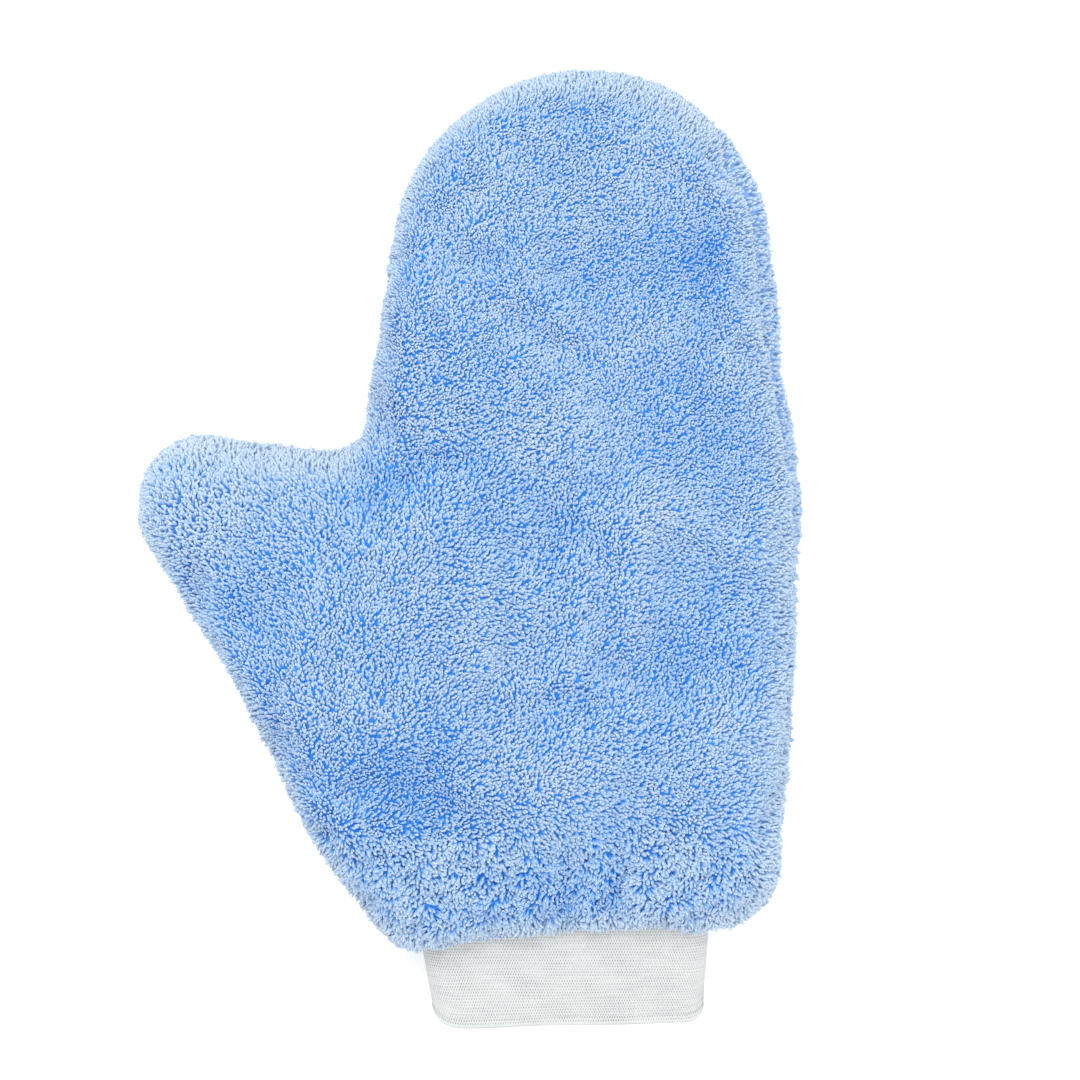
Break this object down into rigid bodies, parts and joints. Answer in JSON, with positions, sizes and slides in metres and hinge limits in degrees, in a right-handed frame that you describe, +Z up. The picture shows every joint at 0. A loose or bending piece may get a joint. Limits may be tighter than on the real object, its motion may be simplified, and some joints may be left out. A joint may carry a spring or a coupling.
{
  "type": "wash mitt",
  "caption": "Plush pile wash mitt with a thumb and a ribbed elastic cuff, lined, open at the wrist for a hand.",
  "frame": {"origin": "under the middle of the bounding box, on the surface the mitt lies on", "axes": "+Y from the cuff to the fingertips, the thumb points to -X, +Z up through the thickness, palm down"},
  "size_m": [0.1956, 0.2808, 0.04],
  "materials": {
    "plush_pile": "pale blue microfibre pile, matt with a soft sheen, deeper blue between the tufts",
    "ground_cloth": "knitted blue backing of the plush, matt",
    "lining": "thin pale blue knitted lining, matt",
    "elastic": "off-white ribbed knitted elastic, matt",
    "rubber": "natural rubber strands, satin",
    "thread": "pale polyester sewing thread, soft gloss"
  },
  "bodies": {
    "root": {"back_pile": "plush_pile", "palm_pile": "plush_pile", "back_ground_cloth": "ground_cloth", "palm_ground_cloth": "ground_cloth", "back_lining": "lining", "palm_lining": "lining", "perimeter_overlock_thread": "thread", "cuff_band": "elastic", "cuff_rubber_cores": "rubber", "cuff_overlock_thread": "thread", "cuff_join_thread": "thread"}
  },
  "joints": []
}
